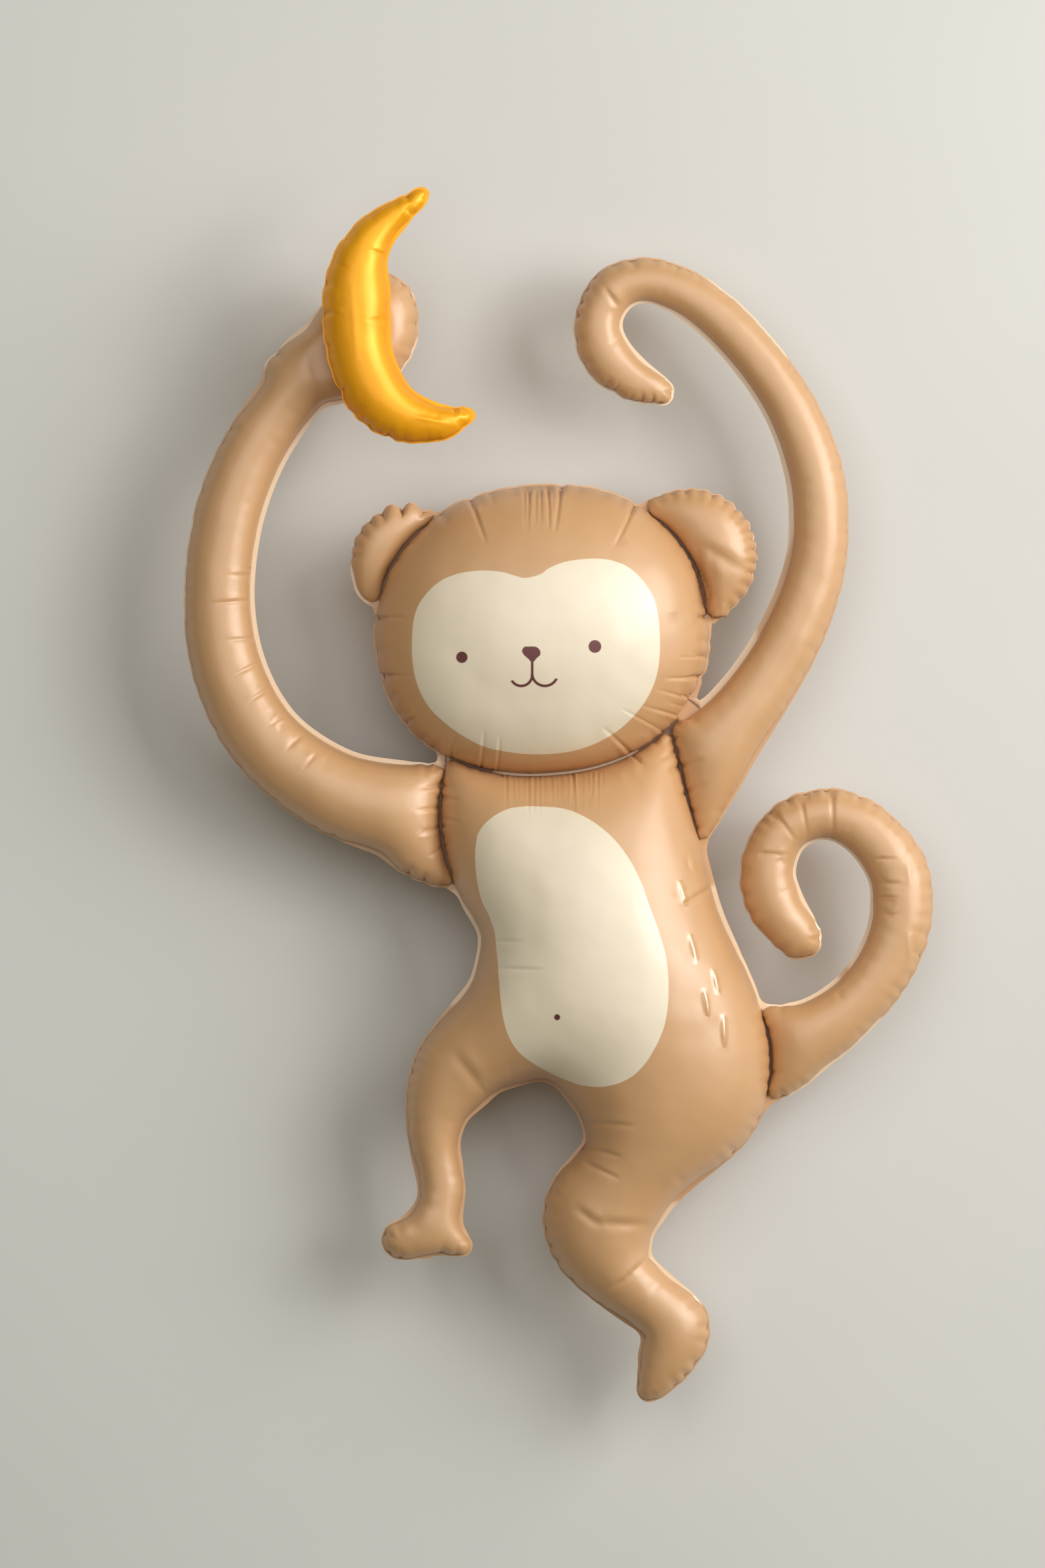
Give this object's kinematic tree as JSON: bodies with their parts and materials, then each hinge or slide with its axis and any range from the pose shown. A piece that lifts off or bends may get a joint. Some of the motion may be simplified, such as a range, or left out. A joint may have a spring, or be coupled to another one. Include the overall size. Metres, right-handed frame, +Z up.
{
  "type": "monkey foil balloon",
  "caption": "Figure-shaped foil balloon of a monkey lying on its back, arms raised, one hand hooked, tail curled, with a small banana foil balloon on its palm.",
  "frame": {"origin": "middle of the bounding box in X and Y, on the surface that the balloon lies on", "axes": "+Z up, out of the printed front; +Y from the feet to the head; +X from the raised arm to the tail"},
  "size_m": [0.5964, 0.9644, 0.1444],
  "materials": {
    "tan_foil": "satin pearl metallised film, printed",
    "yellow_foil": "glossy metallised film"
  },
  "bodies": {
    "root": {"monkey_balloon": "tan_foil", "banana_balloon": "yellow_foil"}
  },
  "joints": []
}
